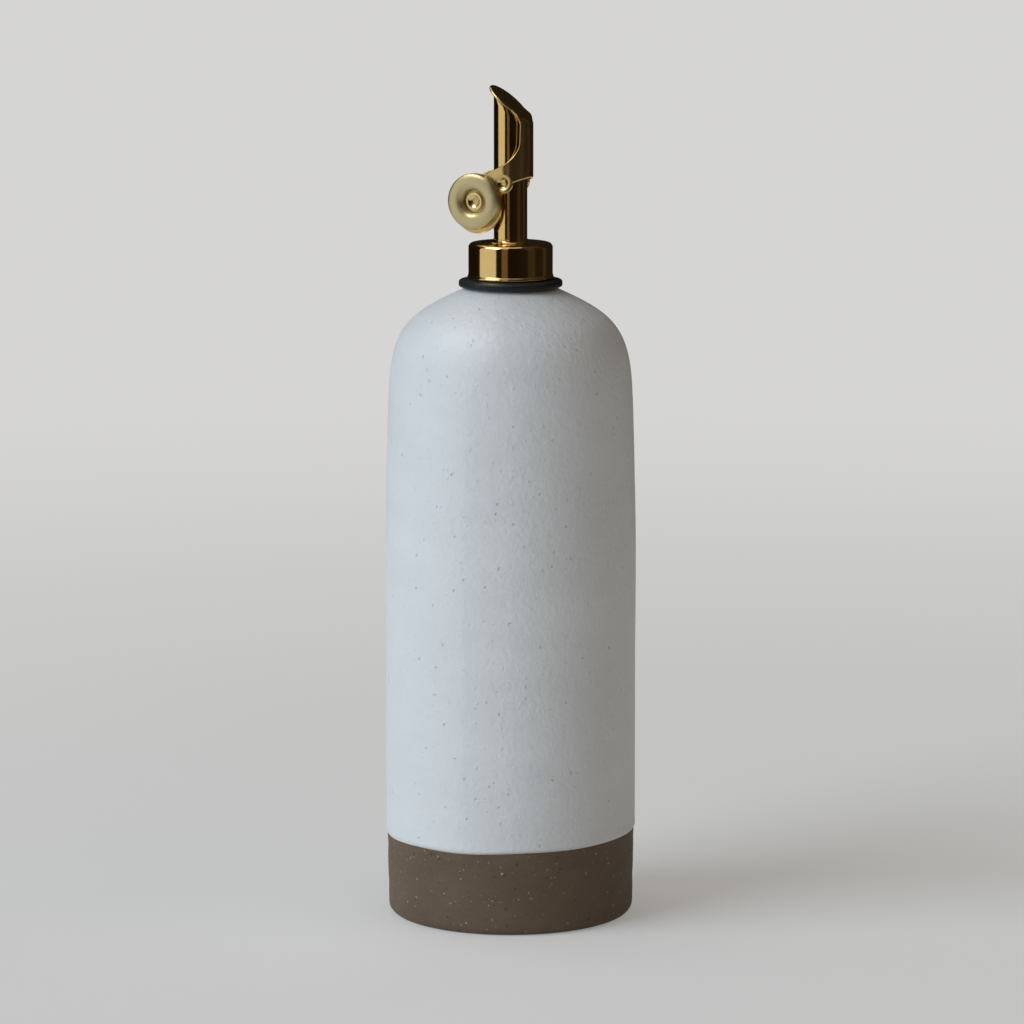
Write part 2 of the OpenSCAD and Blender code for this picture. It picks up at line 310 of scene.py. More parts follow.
def build_glaze():
    """The outer glaze: the outline turned about Z, with throwing rings, slow waves, and
    a thicker rolled edge along a line that is tilted and not quite level. Rings and waves
    fade towards the mouth, and nothing stands out past the body's radius."""
    rng = np.random.default_rng(5)
    turn = full_turn(POT_STEPS)
    low = GLAZE_LINE_Z + LINE_TILT * np.cos(turn - VIEW_AZIMUTH)
    low = low + LINE_WAVER * waves(turn, 0, rng, count=5, turns=(2, 9), pitch=(1, 2))
    line = resample(side_curve(GLAZE_LINE_Z), GLAZE_ROWS)
    r, z = line[:, 0, None], follow_glaze_line(line[:, 1, None], low)
    rings = throwing_rings(turn, z, rng)
    swell = SWELL * waves(turn, z, rng, count=9, turns=(1, 5), pitch=(0.03, 0.12))
    rings = rings * (0.6 + 0.4 * waves(turn, z, rng, count=4, turns=(1, 3), pitch=(0.05, 0.2)))
    fade = np.clip((r - RINGS_FROM_R) / RINGS_GROW, 0, 1)
    above = z - low
    roll = ROLL_OUT * np.exp(-((above - ROLL_H) / ROLL_SPREAD) ** 2)
    drop = EDGE_DROP * np.exp(-above / EDGE_DROP_H) * (above < EDGE_REACH)
    r = r + fade * (rings + swell) + roll - drop
    r = r - max(0, r.max() - BODY_R)
    points = np.vstack([about_z(r, turn, z), coat_back(line, turn, low)])
    return grid_piece("glaze_coat", points, wrap_rows=True, wrap_columns=True, sharp=60)


def cavity_line(set_in):
    """The inside outline from the neck's top down to the middle of the floor: a dome as a
    quarter circle, a straight wall and a rounded corner, all set in by the same step."""
    neck = NECK_R + GLAZE_T - set_in
    cavity = BODY_R - GLAZE_T - WALL_T - set_in
    dome = cavity - neck
    floor = FLOOR_Z + set_in
    return np.vstack([
        [(neck, LINER_TOP_Z)],
        arc(neck, CAVITY_TOP_Z - dome, dome, 90, 0, 30),
        arc(cavity - FLOOR_ROUND, floor + FLOOR_ROUND, FLOOR_ROUND, 0, -90, 12),
        [(0, floor)]])


def build_clay():
    """The thrown clay: foot with a shallow recess, a rounded edge, the bare band with
    fine turning marks, then the wall under the glaze and the inside."""
    rng = np.random.default_rng(11)
    foot = np.vstack([
        [(0, FOOT_RECESS_H), (FOOT_RECESS_R * 0.5, FOOT_RECESS_H)],
        rounded([(FOOT_RECESS_R - 2 * MM, FOOT_RECESS_H), (FOOT_RECESS_R, FOOT_RECESS_H),
                 (FOOT_RECESS_R + RECESS_FLARE, 0), (FOOT_R - FOOT_EDGE_R, 0)], RECESS_ROUND),
        arc(FOOT_R - FOOT_EDGE_R, FOOT_EDGE_R, FOOT_EDGE_R, -90, 0, 10)])
    band = resample([(FOOT_R, FOOT_EDGE_R), (BAND_R, GLAZE_LINE_Z + BAND_UNDER)], BAND_ROWS)
    wall = side_curve(GLAZE_LINE_Z + WALL_ABOVE)
    wall = resample(wall[wall[:, 0] > RIM_LAND_R], WALL_ROWS)
    wall[:, 0] -= GLAZE_T
    wall[:, 1] -= GLAZE_T * np.clip((wall[:, 1] - SHOULDER_Z) / (RIM_Z - SHOULDER_Z), 0, 1)
    rim = [(NECK_R + GLAZE_T, RIM_Z - GLAZE_T - RIM_SUNK)]
    line = np.vstack([foot[:-1], band, wall, rim, cavity_line(0)])
    turn = full_turn(POT_STEPS)
    r, z = line[:, 0, None], line[:, 1, None]
    climb = MARK_CLIMB * turn / (2 * np.pi)
    marks = MARK_DEPTH * np.sin(2 * np.pi * (z + climb) / MARK_PITCH)
    marks = marks + CLAY_WAVER * waves(turn, z, rng, count=10, turns=(2, 14), pitch=(0.004, 0.02))
    bare = np.clip(z / MARK_FADE, 0, 1) * np.clip((GLAZE_LINE_Z - z) / MARK_FADE, 0, 1)
    r = r + marks * bare * (r > MARKS_FROM_R)
    return grid_piece("thrown_clay", about_z(r, turn, z), wrap_columns=True)


def build_liner():
    """The glaze inside, turned about Z: the inside outline set in by the glaze's
    thickness, and the same line just inside the clay."""
    line = np.vstack([cavity_line(GLAZE_T), cavity_line(LINER_SUNK)[::-1]])
    line[0] = (NECK_R, LINER_TOP_Z)
    return turned("inside_glaze", line[::-1], steps=96)


# ----------------------------------------------------------------- the stopper
FIN_R = NECK_R - 0.06 * MM
PLUG_R = 7.9 * MM
PLUG_LOW_Z = bottom("stopper")
HEAD_R = CAP_R - 0.8 * MM
FIN_COUNT = 4
FIN_PITCH = 4.6 * MM
FIN_FIRST_Z = RIM_Z - 3 * MM
# Half a fin's thickness at its edge and at its root
FIN_EDGE, FIN_ROOT = 0.35 * MM, 1.1 * MM
PLUG_EDGE = 1.2 * MM
FLANGE_T = 2 * MM
# The flange's slope ends just under the cap and inside its edge
SLOPE_UNDER, SLOPE_INSIDE = 0.05 * MM, 0.1 * MM
FIN_ROUND, FLANGE_ROUND = 0.3 * MM, 0.7 * MM


def build_stopper():
    """The rubber stopper: plug with sealing fins, a flange with a soft edge that slopes
    up to the cap, and the head inside the cap, turned about Z as one loop."""
    plug = [(CORE_R, PLUG_LOW_Z), (PLUG_R - PLUG_EDGE, PLUG_LOW_Z), (PLUG_R, PLUG_LOW_Z + PLUG_EDGE)]
    for level in range(FIN_COUNT - 1, -1, -1):
        z = FIN_FIRST_Z - level * FIN_PITCH
        plug += [(PLUG_R, z - FIN_ROOT), (FIN_R, z - FIN_EDGE), (FIN_R, z + FIN_EDGE),
                 (PLUG_R, z + FIN_ROOT)]
    plug = rounded(plug, FIN_ROUND, 3)
    flange = rounded([(PLUG_R, RIM_Z), (FLANGE_R, RIM_Z), (FLANGE_R, RIM_Z + FLANGE_T),
                      (CAP_R - SLOPE_INSIDE, CAP_LOW_Z - SLOPE_UNDER), (HEAD_R, CAP_LOW_Z)],
                     FLANGE_ROUND, 6)
    head = [(HEAD_R, CAP_TOP_Z - CAP_SHEET), (TUBE_R, CAP_TOP_Z - CAP_SHEET), (TUBE_R, TUBE_LOW_Z),
            (CORE_R, TUBE_LOW_Z)]
    return turned("rubber_stopper", np.vstack([plug, flange, head]), steps=160, closed=True)


# --------------------------------------------------------- the cap and the spout
CAP_SHEET = 0.8 * MM
CAP_BEAD_R = 0.55 * MM
CAP_BEAD_OUT = 0.3 * MM
CAP_BEAD_ROOT_R, CAP_BEAD_ROOT_H = 0.3 * MM, 1.45 * MM
CAP_EDGE_R = 1.4 * MM
CAP_TOP_Z = COLLAR_TOP_Z - 1.3 * MM
COLLAR_R = 1.25 * MM
COLLAR_FOOT_R = TUBE_R + 1.4 * MM
TUBE_T = 0.6 * MM
MOUTH_SLOPE = np.radians(38.0)
MOUTH_Z = RIM_Z + 55.8 * MM


def build_cap():
    """The pressed cap: a skirt with a rolled bead below, a soft shoulder and a small
    drawn collar that rises to the spout, turned about Z as one loop."""
    wall = CAP_R - CAP_BEAD_OUT
    line = np.vstack([
        [(HEAD_R, CAP_LOW_Z)],
        arc(CAP_R - CAP_BEAD_R, CAP_LOW_Z + CAP_BEAD_R, CAP_BEAD_R, -90, 62, 14),
        arc(wall + CAP_BEAD_ROOT_R, CAP_LOW_Z + CAP_BEAD_ROOT_H, CAP_BEAD_ROOT_R, 235, 180, 4),
        arc(wall - CAP_EDGE_R, CAP_TOP_Z - CAP_EDGE_R, CAP_EDGE_R, 0, 90, 12),
        arc(COLLAR_FOOT_R, CAP_TOP_Z + COLLAR_R, COLLAR_R, -90, -176, 10),
        [(TUBE_R, CAP_TOP_Z + COLLAR_R), (TUBE_R, CAP_TOP_Z - CAP_SHEET),
         (HEAD_R, CAP_TOP_Z - CAP_SHEET)]])
    return turned("pressed_cap", line, steps=192, closed=True)


def build_spout():
    """The spout: a tube about Z whose top is cut by the mouth's slope. Its outline is a
    loop of (radius, share of height, drop below the cut), and its top edges are eased."""
    turn = full_turn(192)
    inner = TUBE_R - TUBE_T
    edge, ease = 0.18 * MM, 0.05 * MM
    rows = 40
    shares = np.linspace(0, 1, rows)
    outer_line = np.stack([np.full(rows, TUBE_R), shares, np.zeros(rows)], -1)
    outer_line[-1, 2] = edge
    top_line = np.array([(TUBE_R - ease, 1, ease), (TUBE_R - edge, 1, 0),
                         (inner + edge, 1, 0), (inner + ease, 1, ease)])
    inner_line = np.stack([np.full(rows, inner), shares[::-1], np.zeros(rows)], -1)
    inner_line[0, 2] = edge
    loop = np.vstack([outer_line, top_line, inner_line])
    r, share, drop = (loop[:, k, None] for k in range(3))
    cut = MOUTH_Z - np.tan(MOUTH_SLOPE) * r * np.cos(turn)
    z = TUBE_LOW_Z + share * (cut - TUBE_LOW_Z) - drop
    return grid_piece("spout", about_z(r, turn, z), wrap_rows=True, wrap_columns=True, sharp=50)


def build_stud(name, mirror):
    """A pivot stud: a foot inside the spout, a shank through its wall and a low dished
    head, turned about the hinge's axis."""
    foot_r, shank_r, head_r = 1.2 * MM, 0.8 * MM, 0.95 * MM
    end_y, wall_y, head_y = 3.4 * MM, 4.05 * MM, 6.05 * MM
    round_r, brim_h, dish_h, dish_r = 0.2 * MM, 0.1 * MM, 0.18 * MM, 0.4 * MM
    line = np.vstack([
        [(0, end_y)],
        rounded([(foot_r / 2, end_y), (foot_r, end_y), (foot_r, wall_y), (shank_r, wall_y),
                 (shank_r, head_y), (head_r, head_y)], 0.1 * MM),
        arc(head_r - round_r, head_y + brim_h, round_r, 0, 80, 6),
        [(dish_r, head_y + brim_h + dish_h), (0, head_y + dish_h)]])
    return turned(name, line, steps=48, about_y=(PIVOT_X, PIVOT_Z), mirror_y=mirror)


# -------------------------------------------------------------------- the flap
SHEET_T = 0.8 * MM
EDGE_ROUND = 0.42 * MM
STRIP_X = CHANNEL_R - 1.55 * MM
STRIP_HALF = CHANNEL_R * np.arccos(STRIP_X / CHANNEL_R)
JOIN_Z = RIM_Z + 45.1 * MM
BEND_R = 1.5 * MM
ARCH_END = 3 * MM
PLATE_OVER = 1.25 * MM
PLATE_GAP = 0.05 * MM
PLATE_NECK = np.sqrt(CHANNEL_R**2 - STRIP_X**2)
LOBE_R = 3.1 * MM
DISH_DEPTH, DISH_FLOOR_R, DISH_R = 0.5 * MM, 0.8 * MM, 2.95 * MM
POCKET_DEPTH, POCKET_FLOOR_R, POCKET_R = 0.4 * MM, 1.0 * MM, 1.9 * MM
LOBE_START_TURN, ROUND_END_TURN = 5.2, -135
# Rows of the flat blank: the plate, the strip, the channel's side and its lower edge,
# the lobe and the round end. Columns lie this far from an edge, then spread evenly
PLATE_ROWS, STRIP_ROWS = 44, 50
SIDE_ROWS, LOW_ROWS, LOBE_ROWS, END_ROWS = 34, 20, 44, 60
EDGE_COLUMNS = np.array([0, 0.015, 0.06, 0.13, 0.22, 0.32, 0.42]) * MM
INNER_COLUMNS = 34
DOME_FULLNESS = 0.82
RIVET_SHANK_R = 1.5 * MM


def leaves_circle(start, end, centre, r):
    """Where the line from start, through end, crosses a circle for the last time."""
    start, end, centre = (np.asarray(p, float) for p in (start, end, centre))
    way = (end - start) / np.linalg.norm(end - start)
    reach = np.dot(centre - start, way)
    off = np.linalg.norm(start + reach * way - centre)
    return start + (reach + np.sqrt(r * r - off * off)) * way


def angle_at(point, centre):
    """Direction of a point from a centre, in degrees."""
    return np.degrees(np.arctan2(point[1] - centre[1], point[0] - centre[0]))


def unfold(line):
    """Side-view points (x, z) as places on the flat sheet: distance round the channel
    from the middle of its back, and height above the strip's foot."""
    x, z = line[:, 0], line[:, 1]
    run = np.where(x >= 0, CHANNEL_R * np.arccos(np.clip(x / CHANNEL_R, -1, 1)),
                   CHANNEL_R * np.pi / 2 - x)
    return np.stack([run, z - JOIN_Z], -1)


def cheek_rows():
    """Two lines on the flat sheet that the cheek is ruled between, with as many points
    each. The outer one runs down the arm's upper edge, through its waist and over the top
    of the round end. The inner one runs down the middle of the channel's back, along the
    cheek's lower edge, round the lobe about the pivot and under the round end."""
    foot, valley = (-0.6 * MM, RIM_Z + 37.2 * MM), (-3.9 * MM, RIM_Z + 35.7 * MM)
    on_pad = (WEIGHT_X + 1 * MM, RIM_Z + 33 * MM)
    arm = bezier((STRIP_X, JOIN_Z), (STRIP_X, JOIN_Z - 3.8 * MM),
                 (2.3 * MM, RIM_Z + 38.5 * MM), foot, 60)
    # the arm's last seven steps are rounded into the waist
    beside, below = arm[:SIDE_ROWS], arm[SIDE_ROWS - 1:-7]
    pad, pivot = (PAD_X, PAD_Z), (PIVOT_X, PIVOT_Z)
    enters = leaves_circle(on_pad, valley, pad, PAD_R)
    waist = rounded([below[-1], foot, valley, enters, arc(*pad, PAD_R, 72, 80, 1)[1]], 0.8 * MM)
    under = (PIVOT_X - 2 * MM, PIVOT_Z - 4 * MM)
    low_corner = leaves_circle(under, pivot, pad, PAD_R)
    lobe_low = leaves_circle(pivot, under, pivot, LOBE_R)
    lobe = arc(*pivot, LOBE_R, LOBE_START_TURN, angle_at(lobe_low, pivot), 24)
    side_top, side_low = (CHANNEL_R, JOIN_Z), (CHANNEL_R, RIM_Z + 33.77 * MM)
    channel_foot = (4.07 * MM, RIM_Z + 32.5 * MM)
    pad_top = arc(*pad, PAD_R, angle_at(waist[-1], pad), 360 + ROUND_END_TURN, 90)
    pad_near = arc(*pad, PAD_R, angle_at(low_corner, pad), 0, 8)
    pad_low = arc(*pad, PAD_R, 0, ROUND_END_TURN, 90)
    counts = SIDE_ROWS, LOW_ROWS, LOBE_ROWS, END_ROWS
    outer, inner = (
        joined(*(unfold(resample(line, count)) for line, count in zip(lines, counts)))
        for lines in ((beside, below, waist, pad_top),
                      ([side_top, side_low], [side_low, channel_foot, lobe[0]],
                       np.vstack([lobe, [low_corner], pad_near[1:]]), pad_low)))
    inner[:SIDE_ROWS, 0] = 0
    return outer, inner


def strip_path():
    """The strip's and plate's outer face in side view, from the strip's foot up, round
    the bend and along the mouth to the tip, as (x, z) points with their distances."""
    lift = (PLATE_GAP + SHEET_T) / np.cos(MOUTH_SLOPE)
    tip_x = -TUBE_R - PLATE_OVER
    corner, tip = ((x, MOUTH_Z + lift - np.tan(MOUTH_SLOPE) * x) for x in (CHANNEL_R, tip_x))
    path = resample(rounded([(CHANNEL_R, JOIN_Z), corner, tip], BEND_R, 16), 400)
    step = np.linalg.norm(np.diff(path, axis=0), axis=1)
    return path, np.concatenate([[0], np.cumsum(step)]), corner


def bend_sheet(across, along, sunk):
    """Folds the flat sheet: below the strip's foot it wraps round the channel and runs
    straight on as cheeks; above it follows the strip's path, and its section flattens
    past the bend. Sunk is how deep a point lies under the outer face."""
    quarter = CHANNEL_R * np.pi / 2
    turn = np.clip(across / CHANNEL_R, -np.pi / 2, np.pi / 2)
    r = CHANNEL_R - sunk
    past = np.clip(np.abs(across) - quarter, 0, None)
    cheek = np.stack([r * np.cos(turn) - past, r * np.sin(turn), JOIN_Z + along], -1)
    path, run, corner = strip_path()
    ahead = np.gradient(path, run, axis=0)
    at = np.clip(along, 0, run[-1])
    x, z, ahead_x, ahead_z = (np.interp(at, run, track) for track in (*path.T, *ahead.T))
    flat = np.clip((at - run[np.argmin(np.linalg.norm(path - corner, axis=1))]) / ARCH_END, 0, 1)
    curve = np.clip(1 - flat * flat * (3 - 2 * flat), 1e-5, 1) / CHANNEL_R
    reach = 1 / curve
    side = (reach - sunk) * np.sin(across * curve)
    drop = reach - (reach - sunk) * np.cos(across * curve)
    strip = np.stack([x - drop * ahead_z, side, z + drop * ahead_x], -1)
    return np.where((along > 0)[..., None], strip, cheek)


def distance_to(line, points):
    """Shortest distance from each point to a line of straight pieces."""
    start, way = line[:-1], np.diff(line, axis=0)
    off = points[..., None, :] - start
    long = np.maximum((way * way).sum(-1), 1e-18)
    share = np.clip((off * way).sum(-1) / long, 0, 1)
    return np.linalg.norm(off - share[..., None] * way, axis=-1).min(-1)


def pressed_in(off, depth, floor_r, mouth_r):
    """How deep a round dent lies at a distance from its middle: its full depth as far as
    its floor's radius, then a smooth step up to its mouth's."""
    ease = np.clip((mouth_r - off) / (mouth_r - floor_r), 0, 1)
    return depth * ease * ease * (3 - 2 * ease)


def plate_rows():
    """The outer edge of the flat blank above the strip's foot. The plate's half width is
    an oval's, each row at the place on the strip's path that has the oval's X. The strip
    widens from the channel's chord to its arc, which leaves it even once it is bent."""
    path, run, _ = strip_path()
    oval_x, oval_half = -PLATE_OVER / 2, TUBE_R + PLATE_OVER / 2
    neck_turn = np.pi - np.arcsin(PLATE_NECK / TUBE_R)
    turn = np.linspace(0, neck_turn, PLATE_ROWS)
    on_path = np.interp(-(oval_x - oval_half * np.cos(turn)), -path[:, 0], run)
    plate = np.stack([TUBE_R * np.sin(turn), on_path], -1)
    along = np.linspace(on_path[-1], 0, STRIP_ROWS)[1:-1]
    half = PLATE_NECK + (STRIP_HALF - PLATE_NECK) * (1 - along / along[0])
    return np.vstack([plate, np.stack([half, along], -1)])


def rule_blank(outer, inner):
    """A grid of points on the flat sheet, each row straight from the inner line to the
    outer edge, with its columns crowded towards both."""
    width = np.linalg.norm(outer - inner, axis=1)[:, None]
    near = EDGE_COLUMNS * np.minimum(1, width / (3 * EDGE_COLUMNS[-1]))
    spread = np.linspace(0, 1, INNER_COLUMNS)[1:-1] * (width - 2 * near[:, -1:]) + near[:, -1:]
    share = np.hstack([near, spread, width - near[:, ::-1]]) / np.maximum(width, 1e-9)
    return inner[:, None] + share[..., None] * (outer - inner)[:, None]


def build_flap():
    """The flap as one bent sheet. Half its flat blank is ruled between its outer edge and
    an inner line, which is the middle of the plate, strip and channel and then the cheek's
    lower edge. Thickness swells from nothing at a free edge to the full sheet as a quarter
    ellipse, the pivot's dish is pressed in, and the blank is folded and mirrored."""
    above = plate_rows()
    cheek_outer, cheek_inner = cheek_rows()
    outer, inner = np.vstack([above, cheek_outer]), np.vstack([above * [0, 1], cheek_inner])
    free_edge = np.vstack([outer, inner[:len(above) + SIDE_ROWS - 2:-1]])
    blank = rule_blank(outer, inner)
    away = np.clip(distance_to(free_edge, blank) / EDGE_ROUND, 0, 1)
    half_t = SHEET_T / 2 * np.sqrt(1 - (1 - away) ** 2)
    off = np.linalg.norm(blank - unfold(np.array([(PIVOT_X, PIVOT_Z)]))[0], axis=-1)
    pressed = SHEET_T / 2 + pressed_in(off, DISH_DEPTH, DISH_FLOOR_R, DISH_R)
    pressed = pressed + pressed_in(off, POCKET_DEPTH, POCKET_FLOOR_R, POCKET_R)
    index = np.arange(off.size).reshape(off.shape)
    points, quads = [], []
    for hand in (1, -1):
        for face in (1, -1):
            sheet = bend_sheet(blank[..., 0], blank[..., 1], pressed - face * half_t)
            quads.append(quads_between(index + len(points) * off.size))
            points.append(sheet.reshape(-1, 3) * [1, hand, 1])
    return mesh_piece("flap_sheet", np.vstack(points), np.vstack(quads), sharp=70)


def build_weight(name, mirror):
    """A weight: a flat back, a plain side and a full dome that falls to a thin hub,
    turned about the rivet's axis. The dome is half a superellipse whose two ends stand at
    the side's height and at the hub's."""
    hub_r, hub_h, edge_h = 3.4 * MM, 0.4 * MM, 1.8 * MM
    crest, half = (WEIGHT_R + hub_r) / 2, (WEIGHT_R - hub_r) / 2
    turn = np.radians(np.linspace(0, 180, 61))
    base = np.where(turn < np.pi / 2, edge_h, hub_h)
    out = half * np.sign(np.cos(turn)) * np.abs(np.cos(turn)) ** DOME_FULLNESS
    rise = (CROWN_H - base) * np.clip(np.sin(turn), 0, 1) ** DOME_FULLNESS
    dome = np.stack([crest + out, CHANNEL_R + base + rise], -1)
    back = rounded([(0, CHANNEL_R), (WEIGHT_R, CHANNEL_R), dome[0]], 0.3 * MM)
    line = np.vstack([back[:-1], dome, [(0, CHANNEL_R + hub_h)]])
    return turned(name, line, steps=160, about_y=(WEIGHT_X, WEIGHT_Z), mirror_y=mirror, sharp=50)


def build_rivet():
    """The tubular rivet: a bored shank whose two rolled heads have a sunk crater, turned
    about its own axis as one loop."""
    bore_r, crater_r, crater_low_r = 0.9 * MM, 2.0 * MM, 1.3 * MM
    head_y, end_y = CHANNEL_R + 0.4 * MM, RIVET_END_Y
    crater_h, bore_h = 0.45 * MM, 0.5 * MM
    half = rounded([(RIVET_SHANK_R, 0), (RIVET_SHANK_R, head_y), (RIVET_HEAD_R, head_y),
                    (RIVET_HEAD_R, end_y), (crater_r, end_y), (crater_low_r, end_y - crater_h),
                    (bore_r, end_y - bore_h), (bore_r, 0)], 0.32 * MM, 5)
    line = np.vstack([half, (half * [1, -1])[::-1][1:-1]])
    return turned("tubular_rivet", line, steps=96, closed=True, about_y=(WEIGHT_X, WEIGHT_Z))


def build_spacer():
    """The sleeve between the cheeks, round the rivet's shank, turned about its axis as
    one loop that starts halfway through its wall."""
    reach, bore_r, sleeve_r = CHANNEL_R - SHEET_T, RIVET_SHANK_R, 2.2 * MM
    halfway = (bore_r + sleeve_r) / 2
    line = rounded([(halfway, -reach), (sleeve_r, -reach), (sleeve_r, reach), (bore_r, reach),
                    (bore_r, -reach), (halfway, -reach)], 0.12 * MM)
    return turned("sleeve", line[:-1], steps=64, closed=True, about_y=(WEIGHT_X, WEIGHT_Z))


# ------------------------------------------------------------------- materials
def group_tree(name, inputs, outputs):
    """An empty shader node group with float inputs (name, default) and named outputs."""
    tree = bpy.data.node_groups.new(name, "ShaderNodeTree")
    for label, default in inputs:
        socket = tree.interface.new_socket(label, in_out="INPUT", socket_type="NodeSocketFloat")
        socket.default_value = default
    for label in outputs:
        tree.interface.new_socket(label, in_out="OUTPUT", socket_type="NodeSocketFloat")
    enter, leave = tree.nodes.new("NodeGroupInput"), tree.nodes.new("NodeGroupOutput")
    return tree, enter, leave


def place(tree, kind, links=(), **values):
    """Adds a node: values set its inputs by name, or its properties when lower case;
    links is a list of (output socket, input name or number)."""
    node = tree.nodes.new(kind)
    for key, value in values.items():
        if key[0].islower():
            setattr(node, key, value)
        else:
            node.inputs[key.replace("_", " ")].default_value = value
    for socket, target in links:
        tree.links.new(socket, node.inputs[target])
    return node


def math(tree, operation, a, b=None, c=None):
    """A Math node; each of a, b and c is a number or an output socket."""
    node = tree.nodes.new("ShaderNodeMath")
    node.operation = operation
    for slot, value in enumerate((a, b, c)):
        if value is None:
            continue
        if isinstance(value, (int, float)):
            node.inputs[slot].default_value = value
        else:
            tree.links.new(value, node.inputs[slot])
    return node.outputs[0]


def specks_group():
    """Scattered ragged specks: one to a cell of a Voronoi pattern, kept by chance. Gives
    a mask that is 1 on a speck, and a soft dome height."""
    tree, enter, leave = group_tree("specks", [("Scale", 500.0), ("Size", 0.2), ("Share", 0.3)],
                                    ["Mask", "Height"])
    where = place(tree, "ShaderNodeTexCoord")
    ragged = place(tree, "ShaderNodeTexNoise", [(where.outputs["Object"], "Vector")],
                   Scale=1400.0, Detail=1.0)
    nudge = place(tree, "ShaderNodeVectorMath", [(ragged.outputs["Color"], 0),
                                                 (where.outputs["Object"], 2)],
                  operation="MULTIPLY_ADD")
    nudge.inputs[1].default_value = (0.9 * MM, 0.9 * MM, 0.9 * MM)
    cells = place(tree, "ShaderNodeTexVoronoi", [(nudge.outputs[0], "Vector"),
                                                 (enter.outputs["Scale"], "Scale")])
    chance = place(tree, "ShaderNodeSeparateColor", [(cells.outputs["Color"], "Color")])
    kept = math(tree, "LESS_THAN", chance.outputs["Red"], enter.outputs["Share"])
    own = math(tree, "MULTIPLY_ADD", chance.outputs["Green"], 0.7, 0.5)
    size = math(tree, "MULTIPLY", own, enter.outputs["Size"])
    inside = math(tree, "SUBTRACT", 1.0, math(tree, "DIVIDE", cells.outputs["Distance"], size))
    dome = math(tree, "MULTIPLY", math(tree, "MAXIMUM", inside, 0.0), kept)
    mask = math(tree, "MINIMUM", math(tree, "MULTIPLY", dome, 5.0), 1.0)
    tree.links.new(mask, leave.inputs["Mask"])
    tree.links.new(dome, leave.inputs["Height"])
    return tree


def mottle_group():
    """Cloudy variation from one fractal noise of the given detail, stretched round the pot by
    Flatten.
    """
    tree, enter, leave = group_tree("mottle", [("Scale", 60.0), ("Flatten", 1.0), ("Contrast", 1.0),
                                               ("Detail", 5.0)], ["Value"])
    where = place(tree, "ShaderNodeTexCoord")
    squeeze = place(tree, "ShaderNodeCombineXYZ", [(enter.outputs["Flatten"], "Z")], X=1.0, Y=1.0)
    scaled = place(tree, "ShaderNodeVectorMath", [(where.outputs["Object"], 0),
                                                  (squeeze.outputs[0], 1)], operation="MULTIPLY")
    broad = place(tree, "ShaderNodeTexNoise", [(scaled.outputs[0], "Vector"),
                                               (enter.outputs["Scale"], "Scale"),
                                               (enter.outputs["Detail"], "Detail")],
                  Roughness=0.6)
    centred = math(tree, "SUBTRACT", broad.outputs["Fac"], 0.5)
    value = math(tree, "MULTIPLY_ADD", centred, enter.outputs["Contrast"], 0.5)
    tree.links.new(value, leave.inputs["Value"])
    return tree


SPECKS = specks_group()
MOTTLE = mottle_group()


def specks(tree, scale, size, share):
    """Places the specks group: gives its mask and its height."""
    node = place(tree, "ShaderNodeGroup", node_tree=SPECKS, Scale=scale, Size=size, Share=share)
    return node.outputs["Mask"], node.outputs["Height"]


def mottle(tree, scale, contrast=1.0, flatten=1.0, detail=5.0):
    """Places the mottle group: gives its value."""
    node = place(tree, "ShaderNodeGroup", node_tree=MOTTLE, Scale=scale, Flatten=flatten,
                 Contrast=contrast, Detail=detail)
    return node.outputs["Value"]


def new_material(name):
    """A material with a Principled BSDF: gives (material, tree, shader)."""
    material = bpy.data.materials.new(name)
    material.use_nodes = True
    tree = material.node_tree
    return material, tree, tree.nodes["Principled BSDF"]


def mix_colour(tree, factor, a, b):
    """A Mix node between two colours; each is an (r, g, b) or a socket."""
    node = tree.nodes.new("ShaderNodeMix")
    node.data_type = "RGBA"
    tree.links.new(factor, node.inputs["Factor"])
    for slot, value in ((6, a), (7, b)):
        if isinstance(value, tuple):
            node.inputs[slot].default_value = (*value, 1)
        else:
            tree.links.new(value, node.inputs[slot])
    return node.outputs[2]


def bump(tree, shader, height, distance):
    """A Bump node on the shader's normal. Height is a socket in units of distance."""
    node = place(tree, "ShaderNodeBump", [(height, "Height")], Distance=distance)
    tree.links.new(node.outputs["Normal"], shader.inputs["Normal"])


def weigh(tree, first, *others):
    """A sum of sockets, each times its weight: pairs of (socket, weight)."""
    total = math(tree, "MULTIPLY", *first)
    for socket, weight in others:
        total = math(tree, "MULTIPLY_ADD", socket, weight, total)
    return total


def glaze_material(name, light, shade, rough):
    """Satin glaze: a cloudy white between a light and a shade tone, a few faint dark dots, shallow
    pits darkened with painted shade, pimples, and a soft orange-peel surface."""
    material, tree, shader = new_material(name)
    tone = mottle(tree, scale=26.0, contrast=1.7, flatten=2.2)
    colour = mix_colour(tree, tone, shade, light)
    dots, dots_height = specks(tree, scale=210.0, size=0.09, share=0.11)
    pits, pits_height = specks(tree, scale=290.0, size=0.15, share=0.5)
    # Painted shade: each pit is darkened a little, as if shaded in its hollow. The dots are dark
    # specks in the glaze.
    dark = math(tree, "MAXIMUM", math(tree, "MULTIPLY", pits, 0.07),
                math(tree, "MULTIPLY", dots, 0.08))
    tree.links.new(mix_colour(tree, dark, colour, (0.3, 0.29, 0.28)), shader.inputs["Base Color"])
    peel = mottle(tree, scale=700.0, flatten=0.85, detail=1.5)
    wobble = mottle(tree, scale=290.0, detail=1.0)
    _, pimples_height = specks(tree, scale=400.0, size=0.24, share=0.55)
    height = weigh(tree, (wobble, 0.38), (peel, 0.3), (pimples_height, 0.32), (pits_height, -0.8),
                   (dots_height, -0.2))
    bump(tree, shader, height, 0.5 * MM)
    gloss = math(tree, "MULTIPLY_ADD", tone, 0.1, rough - 0.05)
    tree.links.new(gloss, shader.inputs["Roughness"])
    shader.inputs["Specular IOR Level"].default_value = 0.5
    return material


